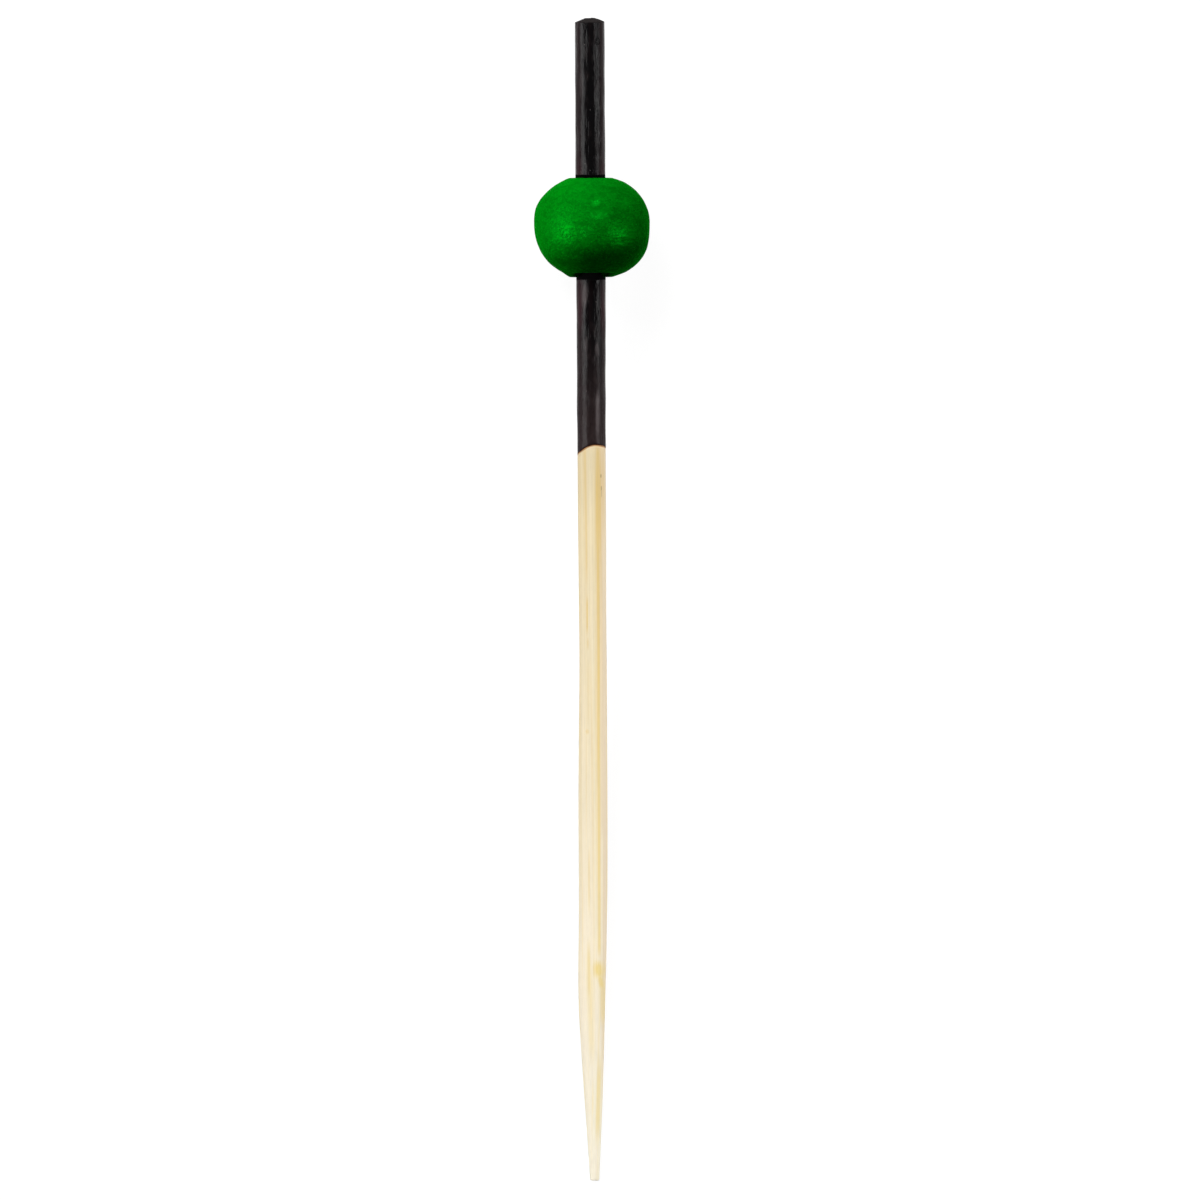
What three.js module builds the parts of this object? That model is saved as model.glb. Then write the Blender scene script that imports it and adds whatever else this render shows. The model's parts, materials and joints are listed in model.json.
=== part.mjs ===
// Ball cocktail pick: a pointed bamboo stick with a black end, and a lacquered wooden ball glued on it.
// Lengths are in millimetres and +Z is up. The pick lies on the plane z = 0, on its ball and its point,
// with the point towards -Y and the middle of its outline over x = 0, y = 0.
import * as THREE from "three";

// The stick, measured from its point
const STICK_LENGTH = 120;
const STICK_DIAMETER = 2.9;
const POINT_LENGTH = 24; // the sharpened stretch
const POINT_CROWN = 1.35; // how full the point is: 1 is a straight cone
const TIP_DIAMETER = 1.0; // the point ends blunt
const TIP_ROUNDING = 0.22;
const END_FACE_DIAMETER = 0.9; // flat left in the middle of the cut end
const END_RISE = 0.4; // height of the worn slope round that flat

// The black coat, which soaks into the stick and so lies flush with the bare bamboo
const COAT_LENGTH = 44.55; // from the cut end to the middle of the dip line
const COAT_DEPTH = 0.1;
const DIP_SLANT = 21; // degrees between the dip line and a square cut
const DIP_TURN = 53; // degrees from +X to the side where the dip line runs highest

// The ball, measured from its widest ring
const BALL_DIAMETER = 12;
const BALL_RISE = 4.9; // from the widest ring to the face towards the cut end
const BALL_DROP = 5.3; // from the widest ring to the face towards the point
const BALL_FROM_END = 21.3; // from the widest ring to the cut end
const BALL_FULLNESS = 2.2; // power of the outline: 2 is a plain ellipse, more is squarer
const FACE_WIDTH = 0.3; // flat ring left round each mouth of the bore
const MOUTH_CHAMFER = 0.35; // slope that opens each mouth of the bore
const GLUE_FILM = 0.1; // clearance between stick and bore, filled with glue
const LACQUER_THICKNESS = 0.15;

// How finely round forms are divided
const SIDES = 32;
const POINT_STEPS = 6;
const TIP_STEPS = 3;
const CROWN_STEPS = 8;

// Worked out from the sizes above
const STICK_RADIUS = STICK_DIAMETER / 2;
const TIP_RADIUS = TIP_DIAMETER / 2;
const END_FACE_RADIUS = END_FACE_DIAMETER / 2;
const CORE_RADIUS = STICK_RADIUS - COAT_DEPTH;
const DIP_LINE = STICK_LENGTH - COAT_LENGTH;
const BALL_RADIUS = BALL_DIAMETER / 2;
const BALL_HEIGHT = STICK_LENGTH - BALL_FROM_END;
const BORE_RADIUS = STICK_RADIUS + GLUE_FILM;
const MOUTH_RADIUS = BORE_RADIUS + MOUTH_CHAMFER;
const FACE_RADIUS = MOUTH_RADIUS + FACE_WIDTH;

const bareBamboo = new THREE.MeshStandardMaterial({ color: 0xebd9b2, roughness: 0.6, metalness: 0 });
const blackCoat = new THREE.MeshStandardMaterial({ color: 0x252223, roughness: 0.45, metalness: 0 });
const turnedWood = new THREE.MeshStandardMaterial({ color: 0xd8bd8c, roughness: 0.7, metalness: 0 });
const greenLacquer = new THREE.MeshStandardMaterial({ color: 0x00750a, roughness: 0.3, metalness: 0 });
const clearGlue = new THREE.MeshStandardMaterial({ color: 0xe9e2cd, roughness: 0.4, metalness: 0 });

// A profile point: distance from the axis, and height along it from the tip of the point.
function at(radius, height) {
  return new THREE.Vector2(radius, height);
}

// Height of the cut end above a given distance from the axis: flat in the middle, sloping outside it.
function endHeight(radius) {
  const outward = Math.max(0, radius - END_FACE_RADIUS);
  return STICK_LENGTH - (END_RISE * outward) / (STICK_RADIUS - END_FACE_RADIUS);
}

// The rounded tip and the sharpened stretch, which widens quickly at first and eases into the full stick.
function pointOutline() {
  const outline = [at(0, 0)];
  for (let i = 0; i <= TIP_STEPS; i++) {
    const turn = (Math.PI / 2) * (i / TIP_STEPS);
    const inward = TIP_ROUNDING * (1 - Math.sin(turn));
    outline.push(at(TIP_RADIUS - inward, TIP_ROUNDING * (1 - Math.cos(turn))));
  }
  for (let i = 1; i <= POINT_STEPS; i++) {
    const share = i / POINT_STEPS;
    const grown = 1 - (1 - share) ** POINT_CROWN;
    const radius = THREE.MathUtils.lerp(TIP_RADIUS, STICK_RADIUS, grown);
    outline.push(at(radius, THREE.MathUtils.lerp(TIP_ROUNDING, POINT_LENGTH, share)));
  }
  return outline;
}

// The seat that the black coat covers, from the dip line up and over the cut end to the axis.
function seatOutline() {
  return [
    at(STICK_RADIUS, DIP_LINE),
    at(CORE_RADIUS, DIP_LINE),
    at(CORE_RADIUS, endHeight(CORE_RADIUS) - COAT_DEPTH),
    at(END_FACE_RADIUS, STICK_LENGTH - COAT_DEPTH),
    at(0, STICK_LENGTH - COAT_DEPTH),
  ];
}

// The outside of the black coat, from the axis at the cut end down to the dip line.
function coatOutline() {
  return [
    at(0, STICK_LENGTH),
    at(END_FACE_RADIUS, STICK_LENGTH),
    at(STICK_RADIUS, endHeight(STICK_RADIUS)),
  ];
}

// One half of the ball's curve, from its widest ring to a face that lies FACE_RADIUS wide at a height.
function crownOutline(radius, faceHeight) {
  const faceTurn = Math.acos((FACE_RADIUS / radius) ** (BALL_FULLNESS / 2));
  const crownHeight = faceHeight / Math.sin(faceTurn) ** (2 / BALL_FULLNESS);
  const outline = [];
  for (let i = 0; i <= CROWN_STEPS; i++) {
    const turn = (faceTurn * i) / CROWN_STEPS;
    const out = radius * Math.cos(turn) ** (2 / BALL_FULLNESS);
    const up = crownHeight * Math.sin(turn) ** (2 / BALL_FULLNESS);
    outline.push(at(out, BALL_HEIGHT + up));
  }
  return outline;
}

// The ball from its lower mouth round to its upper one, on a surface that lies a depth under the outside.
function ballOutline(depth) {
  const upper = BALL_RISE - depth;
  const lower = depth - BALL_DROP;
  const lowerHalf = crownOutline(BALL_RADIUS - depth, lower).reverse();
  const upperHalf = crownOutline(BALL_RADIUS - depth, upper).slice(1);
  return [
    at(BORE_RADIUS, BALL_HEIGHT + lower + MOUTH_CHAMFER),
    at(MOUTH_RADIUS, BALL_HEIGHT + lower),
    ...lowerHalf,
    ...upperHalf,
    at(MOUTH_RADIUS, BALL_HEIGHT + upper),
    at(BORE_RADIUS, BALL_HEIGHT + upper - MOUTH_CHAMFER),
  ];
}

// Closes a profile that doesn't touch the axis, so that it turns into a ring.
function closed(outline) {
  return [...outline, outline[0].clone()];
}

// Turns a profile round the axis, with a flat side facing straight down and up.
function turned(outline) {
  return new THREE.LatheGeometry(outline, SIDES, Math.PI / SIDES);
}

// Tips the ring of the dip line over, so that it lies on one slanting plane.
function slantDipLine(geometry) {
  const place = geometry.getAttribute("position");
  const slope = Math.tan(THREE.MathUtils.degToRad(DIP_SLANT));
  const turn = THREE.MathUtils.degToRad(DIP_TURN);
  const onLine = Math.fround(DIP_LINE);
  for (let i = 0; i < place.count; i++) {
    if (place.getY(i) === onLine) {
      const uphill = place.getX(i) * Math.cos(turn) + place.getZ(i) * Math.sin(turn);
      place.setY(i, DIP_LINE + slope * uphill);
    }
  }
  return geometry;
}

function piece(name, geometry, material) {
  const mesh = new THREE.Mesh(geometry, material);
  mesh.name = name;
  return mesh;
}

function bambooSkewer() {
  const outline = [...pointOutline(), ...seatOutline()];
  return piece("bamboo_skewer", slantDipLine(turned(outline)), bareBamboo);
}

function blackCoatCup() {
  const outline = [...coatOutline(), ...seatOutline()].reverse();
  return piece("black_coat", slantDipLine(turned(outline)), blackCoat);
}

function woodenBall() {
  return piece("wooden_ball", turned(closed(ballOutline(LACQUER_THICKNESS))), turnedWood);
}

function lacquerShell() {
  const inside = ballOutline(LACQUER_THICKNESS).reverse();
  return piece("green_lacquer", turned(closed([...ballOutline(0), ...inside])), greenLacquer);
}

// The glue film between the black end of the stick and the straight stretch of the bore.
function glueSleeve() {
  const bore = ballOutline(LACQUER_THICKNESS);
  const low = bore[0].y;
  const high = bore[bore.length - 1].y;
  const outline = [at(STICK_RADIUS, low), at(BORE_RADIUS, low), at(BORE_RADIUS, high), at(STICK_RADIUS, high)];
  return piece("ball_glue", turned(closed(outline)), clearGlue);
}

// Angle at which the pick lies: the line under it touches the point first and then the ball.
function restTilt() {
  const flat = Math.cos(Math.PI / SIDES); // the sides face down, so they reach less far than the corners
  const slopes = pointOutline().map((low) => {
    const reach = ballOutline(0).map((high) => (flat * (high.x - low.x)) / (high.y - low.y));
    return Math.max(...reach);
  });
  return Math.atan(Math.min(...slopes));
}

const pick = new THREE.Group();
pick.add(bambooSkewer(), blackCoatCup(), woodenBall(), lacquerShell(), glueSleeve());
pick.rotation.x = restTilt();

// Lays the pick on z = 0, with the middle of its outline over the origin.
const extent = new THREE.Box3().setFromObject(pick, true);
const middle = extent.getCenter(new THREE.Vector3());
pick.position.set(0, -middle.y, -extent.min.z);

const part = new THREE.Group();
part.add(pick);

export default part;
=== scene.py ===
"""Ball cocktail pick: a pointed bamboo stick with a black end and a green lacquered ball glued on it.

Shapes are worked out in millimetres, in the pick's own space. There x runs across the stick, y along it
from the tip of the point, and z away from the floor. As it is made, a mesh is turned to metres in the
shared frame.
"""

import functools
import json
import logging
import math
from collections.abc import Callable, Iterable
from dataclasses import dataclass
from enum import Enum

import bpy
from mathutils import Matrix, Vector, noise


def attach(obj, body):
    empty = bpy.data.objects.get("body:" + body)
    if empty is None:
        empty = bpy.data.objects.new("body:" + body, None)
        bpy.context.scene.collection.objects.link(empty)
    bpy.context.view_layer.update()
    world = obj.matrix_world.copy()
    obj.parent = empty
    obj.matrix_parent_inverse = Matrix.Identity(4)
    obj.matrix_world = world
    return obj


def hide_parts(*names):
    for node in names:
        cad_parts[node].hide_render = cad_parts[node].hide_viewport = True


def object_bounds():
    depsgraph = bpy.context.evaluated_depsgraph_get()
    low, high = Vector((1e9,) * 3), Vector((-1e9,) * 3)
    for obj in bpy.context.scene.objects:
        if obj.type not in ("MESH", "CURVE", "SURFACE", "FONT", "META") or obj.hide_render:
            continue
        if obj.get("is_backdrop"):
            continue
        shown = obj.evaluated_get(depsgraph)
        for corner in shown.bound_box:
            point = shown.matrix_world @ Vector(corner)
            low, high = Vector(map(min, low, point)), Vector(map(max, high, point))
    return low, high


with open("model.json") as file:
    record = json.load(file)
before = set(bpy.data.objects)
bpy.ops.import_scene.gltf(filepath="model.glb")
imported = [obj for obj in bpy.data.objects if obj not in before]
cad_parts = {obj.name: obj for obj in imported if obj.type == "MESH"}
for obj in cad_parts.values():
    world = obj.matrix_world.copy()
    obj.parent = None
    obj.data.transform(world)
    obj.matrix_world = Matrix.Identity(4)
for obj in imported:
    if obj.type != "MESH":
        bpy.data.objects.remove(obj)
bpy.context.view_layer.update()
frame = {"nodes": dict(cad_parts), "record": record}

MM = 0.001  # a millimetre, in metres
NEAR = 0.001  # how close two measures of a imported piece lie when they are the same, in millimetres
DIP_CREST = 0.24  # how far the coat's edge bulges upwards on the side away from the floor, in millimetres

Profile = list[tuple[float, float]]  # distances from the axis, with the heights along it
Colour = tuple[float, float, float]

log = logging.getLogger("pick")


class Slot(Enum):
    """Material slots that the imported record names."""

    BAMBOO = "bamboo"
    COAT = "black_coat"
    CORE = "ball_wood"
    LACQUER = "green_lacquer"
    GLUE = "glue"


class Closing(Enum):
    """How the skin of a turned piece closes."""

    ON_AXIS = "its profile starts and ends on the axis"
    ON_ITSELF = "its profile runs back to its own start"


def ease(value: float, low: float, high: float) -> float:
    """Rises smoothly from 0 where a value is low to 1 where it is high."""
    share = min(1.0, max(0.0, (value - low) / (high - low)))
    return share * share * (3.0 - 2.0 * share)


def hump(value: float, middle: float, width: float) -> float:
    """A bell curve that is 1 in its middle and has a given width."""
    return math.exp(-(((value - middle) / width) ** 2) / 2.0)


def grain(x: float, y: float, z: float) -> float:
    """Smooth noise from about -1 to 1, always the same at the same place."""
    return noise.noise(Vector((x, y, z)))


def grain_round(turn: float, steps: float, along: float, shift: float = 0.0) -> float:
    """Smooth noise round the stick, of some steps in a radius, at a place along it."""
    return grain(steps * math.cos(turn) + shift, along, steps * math.sin(turn))


def around(out: float, height: float, turn: float) -> Vector:
    """The point of the pick's space at a distance from the axis, a height and a turn from +x."""
    return Vector((out * math.cos(turn), height, out * math.sin(turn)))


def linked(name: str, data: bpy.types.ID) -> bpy.types.Object:
    """Puts a mesh, a lamp or a camera into the scene.

    Args:
        name: the new object's name.
        data: what it shows.

    Returns:
        The new object.
    """
    made = bpy.data.objects.new(name, data)
    bpy.context.scene.collection.objects.link(made)
    return made


def spread(low: float, high: float, step: float) -> list[float]:
    """Evenly spaced values from low to high, both included, at most a step apart."""
    count = max(1, math.ceil((high - low) / step))
    return [low + (high - low) * i / count for i in range(count + 1)]


@dataclass(frozen=True)
class PickSpace:
    """The pick's own space, as it lies in the shared frame.

    Attributes:
        tip: the middle of the tip of the point, in metres.
        across: direction of x.
        along: direction of y.
        away: direction of z.
    """

    tip: Vector
    across: Vector
    along: Vector
    away: Vector

    @classmethod
    def of_stick(cls, node: bpy.types.Object, cut_end: dict) -> "PickSpace":
        """Finds the space from the stick and from the mount on its cut end.

        Args:
            node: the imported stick.
            cut_end: the record's mount on the cut end.

        Returns:
            The pick's space.
        """
        along = Vector(cut_end["axis"]).normalized()
        end = Vector(cut_end["pos_m"])
        length = max((end - vertex.co).dot(along) for vertex in node.data.vertices)
        across = Vector((1.0, 0.0, 0.0))
        return cls(end - along * length, across, along, across.cross(along))

    def place(self, point: Vector) -> Vector:
        """Turns a point of the pick's space into one of the shared frame, in metres."""
        return self.tip + (self.across * point.x + self.along * point.y + self.away * point.z) * MM

    def rings(self, node: bpy.types.Object) -> list[tuple[float, float, float]]:
        """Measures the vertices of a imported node.

        Args:
            node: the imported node.

        Returns:
            The distance from the axis, the height along it and the turn from +x of each vertex.
        """
        found = []
        for vertex in node.data.vertices:
            away = (vertex.co - self.tip) / MM
            x = away.dot(self.across)
            z = away.dot(self.away)
            found.append((math.hypot(x, z), away.dot(self.along), math.atan2(z, x)))
        return found

    def tilt(self) -> float:
        """Angle at which the stick rises from the floor, in radians."""
        return math.asin(self.along.z)


@dataclass(frozen=True)
class PickSizes:
    """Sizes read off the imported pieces, in millimetres and radians.

    Attributes:
        length: of the whole stick.
        radius: of the stick.
        core: radius of the bamboo under the black coat.
        tip: radius of the blunt tip.
        point: length of the sharpened stretch.
        dip: height of the middle of the coat's edge.
        dip_reach: how much higher the edge runs on its highest side.
        dip_turn: turn of that side.
        end_face: radius of the flat in the middle of the cut end.
        end_rise: height of the slope round that flat.
        ball: radius of the ball.
        ball_height: height of its widest ring.
        rise: from the widest ring to the upper face.
        drop: from the widest ring to the lower face.
        bore: radius of the bore.
        mouth: radius of its mouths.
        mouth_depth: how deep a mouth's slope goes.
        face: outer radius of the flat ring round a mouth.
        lacquer: thickness of the lacquer.
        glue_low: where the glue starts.
        glue_high: where the glue ends.
    """

    length: float
    radius: float
    core: float
    tip: float
    point: float
    dip: float
    dip_reach: float
    dip_turn: float
    end_face: float
    end_rise: float
    ball: float
    ball_height: float
    rise: float
    drop: float
    bore: float
    mouth: float
    mouth_depth: float
    face: float
    lacquer: float
    glue_low: float
    glue_high: float

    @classmethod
    def of_nodes(cls, space: PickSpace, nodes: dict[str, bpy.types.Object]) -> "PickSizes":
        """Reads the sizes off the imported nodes.

        Args:
            space: the pick's space.
            nodes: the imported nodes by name.

        Returns:
            The sizes.
        """
        stick = space.rings(nodes["bamboo_skewer"])
        coat = space.rings(nodes["black_coat"])
        shell = space.rings(nodes["green_lacquer"])
        wood = space.rings(nodes["wooden_ball"])
        glue = [height for _, height, _ in space.rings(nodes["ball_glue"])]
        length = max(height for _, height, _ in coat)
        radius = max(out for out, _, _ in stick)
        upper = length * 0.8
        full = [height for out, height, _ in stick if out > radius - NEAR]
        seat = [out for out, height, _ in stick if height > upper]
        blunt = [out for out, height, _ in stick if height < radius / 4]
        rim = [(height, turn) for out, height, turn in coat if out > radius - NEAR and height < upper]
        outer = [(out, height) for out, height, _ in coat if height > upper]
        ball = max(out for out, _, _ in shell)
        widest = [height for out, height, _ in shell if out > ball - NEAR]
        middle = sum(widest) / len(widest)
        top = max(height for _, height, _ in shell)
        bottom = min(height for _, height, _ in shell)
        bore = min(out for out, _, _ in shell)
        face = [out for out, height, _ in shell if height > top - NEAR]
        return cls(
            length=length,
            radius=radius,
            core=max(seat),
            tip=max(blunt),
            point=min(full),
            dip=(max(rim)[0] + min(rim)[0]) / 2,
            dip_reach=(max(rim)[0] - min(rim)[0]) / 2,
            dip_turn=max(rim)[1],
            end_face=max(out for out, height in outer if height > length - NEAR),
            end_rise=length - max(height for out, height in outer if out > radius - NEAR),
            ball=ball,
            ball_height=middle,
            rise=top - middle,
            drop=middle - bottom,
            bore=bore,
            mouth=min(face),
            mouth_depth=top - max(height for out, height, _ in shell if out < bore + NEAR),
            face=max(face),
            lacquer=ball - max(out for out, _, _ in wood),
            glue_low=min(glue),
            glue_high=max(glue),
        )


@dataclass(frozen=True)
class OnPick:
    """What is worked out in the pick's space, from its sizes.

    Attributes:
        space: the pick's space.
        sizes: the pick's sizes.
    """

    space: PickSpace
    sizes: PickSizes


def turned(
    name: str,
    space: PickSpace,
    profile: Profile,
    shape: Callable[[float, float, float], Vector],
    sides: int,
    closing: Closing,
) -> bpy.types.Object:
    """Turns a profile round the pick's axis, shapes every point of it, and makes a mesh of the result.

    Args:
        name: the piece's name.
        space: the pick's space.
        profile: the profile, which runs with the solid on its left hand.
        shape: gives the place of a point from its distance from the axis, its height and its turn.
        sides: points in each ring.
        closing: how the skin closes.

    Returns:
        The new piece, in the shared frame.
    """
    on_axis = closing is Closing.ON_AXIS
    body = profile[1:-1] if on_axis else profile
    points = []
    for out, height in body:
        for side in range(sides):
            points.append(shape(out, height, 2.0 * math.pi * side / sides))
    faces = []
    pairs = len(body) - 1 if on_axis else len(body)
    for ring in range(pairs):
        here = ring * sides
        there = (ring + 1) % len(body) * sides
        for side in range(sides):
            beside = (side + 1) % sides
            faces.append((here + side, there + side, there + beside, here + beside))
    if on_axis:
        last = (len(body) - 1) * sides
        for side in range(sides):
            beside = (side + 1) % sides
            faces.append((len(points), side, beside))
            faces.append((len(points) + 1, last + beside, last + side))
        points.append(shape(0.0, profile[0][1], 0.0))
        points.append(shape(0.0, profile[-1][1], 0.0))
    mesh = bpy.data.meshes.new(name)
    mesh.from_pydata([space.place(point) for point in points], [], faces)
    mesh.validate()
    mesh.shade_smooth()
    return linked(name, mesh)


def settle(piece: bpy.types.Object, node: str, material: bpy.types.Material) -> bpy.types.Object:
    """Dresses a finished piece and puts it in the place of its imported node.

    Args:
        piece: the finished piece.
        node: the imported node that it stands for.
        material: its material.

    Returns:
        The piece.
    """
    piece.data.materials.append(material)
    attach(piece, "root")
    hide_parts(node)
    return piece


def _operator(operation: str, swapped: bool = False) -> Callable[..., "Socket"]:
    """Makes a method of a socket that adds a Math node.

    Args:
        operation: the node's operation.
        swapped: whether the other value comes first, as in the reflected operators.

    Returns:
        The method.
    """

    def method(self: "Socket", other: "Number" = 0.0) -> "Socket":
        """Adds the Math node and hands back its result."""
        left, right = (other, self) if swapped else (self, other)
        return self.bench.node("ShaderNodeMath", {"operation": operation}, {0: left, 1: right})

    return method


@dataclass(frozen=True)
class Socket:
    """A value in a material. Arithmetic on it adds Math nodes.

    Attributes:
        bench: the bench that the value is built on.
        output: the node output that carries the value.
    """

    bench: "Bench"
    output: bpy.types.NodeSocket | None

    __add__ = _operator("ADD")
    __radd__ = _operator("ADD", swapped=True)
    __sub__ = _operator("SUBTRACT")
    __rsub__ = _operator("SUBTRACT", swapped=True)
    __mul__ = _operator("MULTIPLY")
    __rmul__ = _operator("MULTIPLY", swapped=True)
    __truediv__ = _operator("DIVIDE")
    __abs__ = _operator("ABSOLUTE")
    root = _operator("SQRT")
    most = _operator("MAXIMUM")
    least = _operator("MINIMUM")

    def beside(self, output: str) -> "Socket":
        """Another output of the same node."""
        return Socket(self.bench, self.output.node.outputs[output])


Number = Socket | float


class Bench:
    """Builds one material, or the world, node by node."""

    def __init__(self, owner: bpy.types.Material | bpy.types.World) -> None:
        """Clears the owner's nodes.

        Args:
            owner: the material or the world.
        """
        owner.use_nodes = True
        self.owner = owner
        self.tree = owner.node_tree
        self.tree.nodes.clear()

    def node(
        self,
        kind: str,
        settings: dict[str, object] | None = None,
        inputs: dict[str | int, object] | None = None,
        output: str | int = 0,
    ) -> Socket:
        """Adds a node of any type.

        Args:
            kind: the node's type.
            settings: its settings, set before its sockets.
            inputs: values or links of its sockets, by name, identifier or number.
            output: the output to hand back.

        Returns:
            The chosen output.
        """
        made = self.tree.nodes.new(kind)
        for key, value in (settings or {}).items():
            setattr(made, key, value)
        for key, value in (inputs or {}).items():
            socket = self._find(made.inputs, key)
            if isinstance(value, Socket):
                self.tree.links.new(value.output, socket)
            elif isinstance(value, tuple) and len(value) == 3 and socket.type == "RGBA":
                socket.default_value = (*value, 1.0)
            else:
                socket.default_value = value
        return Socket(self, self._find(made.outputs, output) if made.outputs else None)

    @staticmethod
    def _find(sockets: Iterable[bpy.types.NodeSocket], key: str | int) -> bpy.types.NodeSocket:
        """Finds a socket.

        Args:
            sockets: a node's inputs or outputs.
            key: its number, its identifier or its name.

        Returns:
            The socket.
        """
        if isinstance(key, int):
            return sockets[key]
        by_identifier = {socket.identifier: socket for socket in sockets}
        return by_identifier.get(key) or sockets[key]

    def pick_space(self, space: PickSpace) -> Socket:
        """Gives each point of the surface its place in the pick's space, in millimetres.

        Args:
            space: the pick's space.

        Returns:
            The place as a vector.
        """
        turn = Matrix.Rotation(-space.tilt(), 3, "X")
        inputs = {
            "Vector": self.node("ShaderNodeTexCoord", output="Object"),
            "Location": tuple(-(turn @ (space.tip / MM))),
            "Rotation": (-space.tilt(), 0.0, 0.0),
            "Scale": (1.0 / MM,) * 3,
        }
        return self.node("ShaderNodeMapping", {"vector_type": "POINT"}, inputs)

    def parts(self, vector: Socket) -> tuple[Socket, Socket, Socket]:
        """Splits a vector into its x, y and z."""
        x = self.node("ShaderNodeSeparateXYZ", inputs={0: vector}, output="X")
        return x, x.beside("Y"), x.beside("Z")

    def stretched(self, place: Socket, across: float, along: float) -> Socket:
        """Scales a place by pattern steps in a millimetre, across the stick and along its fibres."""
        inputs = {0: place, 1: (across, along, across)}
        return self.node("ShaderNodeVectorMath", {"operation": "MULTIPLY"}, inputs)

    def clouds(
        self, place: Socket, across: float, along: float, detail: float = 2.0, roughness: float = 0.5
    ) -> Socket:
        """Noise of about 0.2 to 0.8 round 0.5.

        Args:
            place: the place in the pick's space.
            across: pattern steps in a millimetre across the stick.
            along: pattern steps in a millimetre along its fibres.
            detail: octaves of finer noise.
            roughness: how strong they are.

        Returns:
            The noise.
        """
        vector = self.stretched(place, across, along)
        inputs = {"Vector": vector, "Scale": 1.0, "Detail": detail, "Roughness": roughness}
        return self.node("ShaderNodeTexNoise", {"noise_dimensions": "3D"}, inputs, "Fac")

    def cells(self, place: Socket, across: float, along: float) -> Socket:
        """Distance to the nearest of many points, which lie about one pattern step apart."""
        inputs = {"Vector": self.stretched(place, across, along), "Scale": 1.0, "Randomness": 1.0}
        return self.node("ShaderNodeTexVoronoi", {"feature": "F1"}, inputs, "Distance")

    def between(self, value: Socket, low: float, high: float) -> Socket:
        """Rises smoothly from 0 where a value is low to 1 where it is high."""
        inputs = {"Value": value, "From Min": low, "From Max": high}
        return self.node("ShaderNodeMapRange", {"interpolation_type": "SMOOTHSTEP"}, inputs)

    def below(self, value: Socket, low: float, high: float) -> Socket:
        """Falls smoothly from 1 where a value is low to 0 where it is high."""
        return 1.0 - self.between(value, low, high)

    def window(self, value: Socket, low: float, high: float, edge: float) -> Socket:
        """Is 1 between two values and fades to 0 outside them over an edge."""
        risen = self.between(value, low - edge, low + edge)
        return risen * self.below(value, high - edge, high + edge)

    def mix(self, share: Number, first: Socket | Colour, second: Socket | Colour) -> Socket:
        """Mixes a share of the second colour into the first."""
        inputs = {"Factor_Float": share, "A_Color": first, "B_Color": second}
        return self.node("ShaderNodeMix", {"data_type": "RGBA"}, inputs, "Result_Color")

    def shade(self, colour: Socket, light: Socket) -> Socket:
        """Multiplies a colour by a value that is 1 where the colour stays as it is."""
        inputs = {0: colour, "Scale": light}
        return self.node("ShaderNodeVectorMath", {"operation": "SCALE"}, inputs)

    def bump(self, height: Socket, depth: float) -> Socket:
        """Turns a height of 0 to 1 into a relief of a depth in millimetres."""
        inputs = {"Height": height, "Distance": depth * MM, "Strength": 1.0}
        return self.node("ShaderNodeBump", inputs=inputs)

    def finish(self, inputs: dict[str | int, object]) -> bpy.types.Material:
        """Closes the material with a surface shader.

        Args:
            inputs: values or links of the surface's sockets.

        Returns:
            The finished material.
        """
        surface = self.node("ShaderNodeBsdfPrincipled", inputs=inputs)
        self.node("ShaderNodeOutputMaterial", inputs={"Surface": surface})
        return self.owner


@dataclass(frozen=True)
class Streak:
    """A band in the bamboo that runs along the stick on the side away from the floor.

    Attributes:
        low: where it starts, in millimetres from the tip.
        high: where it ends.
        low_x: x of its middle where it starts.
        high_x: x of its middle where it ends.
        half_width: half its width.
        fade: length over which its ends fade.
        strength: how strongly it shows, from 0 to 1.
    """

    low: float
    high: float
    low_x: float
    high_x: float
    half_width: float
    fade: float
    strength: float

    def mask(self, x: Socket, y: Socket) -> Socket:
        """How strongly the streak shows at each point.

        Args:
            x: place across the stick.
            y: place along it.

        Returns:
            A share from 0 to 1.
        """
        bench = x.bench
        slant = (self.high_x - self.low_x) / (self.high - self.low)
        beside = abs(x - ((y - self.low) * slant + self.low_x))
        within = bench.below(beside, self.half_width * 0.35, self.half_width * 1.3)
        return within * bench.window(y, self.low, self.high, self.fade) * self.strength


@dataclass(frozen=True)
class Split:
    """A short dark split along the fibres of the bamboo, on the side away from the floor.

    Attributes:
        x: where it lies across the stick.
        low: where it starts, from the tip.
        high: where it ends.
        depth: how deep it goes.
        half_width: half its width at the surface.
        strength: how dark it shows, from 0 to 1.
        fade: length over which its ends rise to the surface.
    """

    x: float
    low: float
    high: float
    depth: float
    half_width: float
    strength: float
    fade: float = 0.12

    def sunk(self, x: float, height: float) -> float:
        """How deep it goes at a place on the stick's skin.

        Args:
            x: place across the stick.
            height: place along it.

        Returns:
            The depth.
        """
        begun = ease(height, self.low - self.fade, self.low + self.fade)
        ended = ease(height, self.high - self.fade, self.high + self.fade)
        return self.depth * begun * (1.0 - ended) * hump(x, self.x, self.half_width)

    def mark(self) -> Streak:
        """The dark streak that it shows as."""
        return Streak(self.low, self.high, self.x, self.x, self.half_width, self.fade, self.strength)


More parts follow.
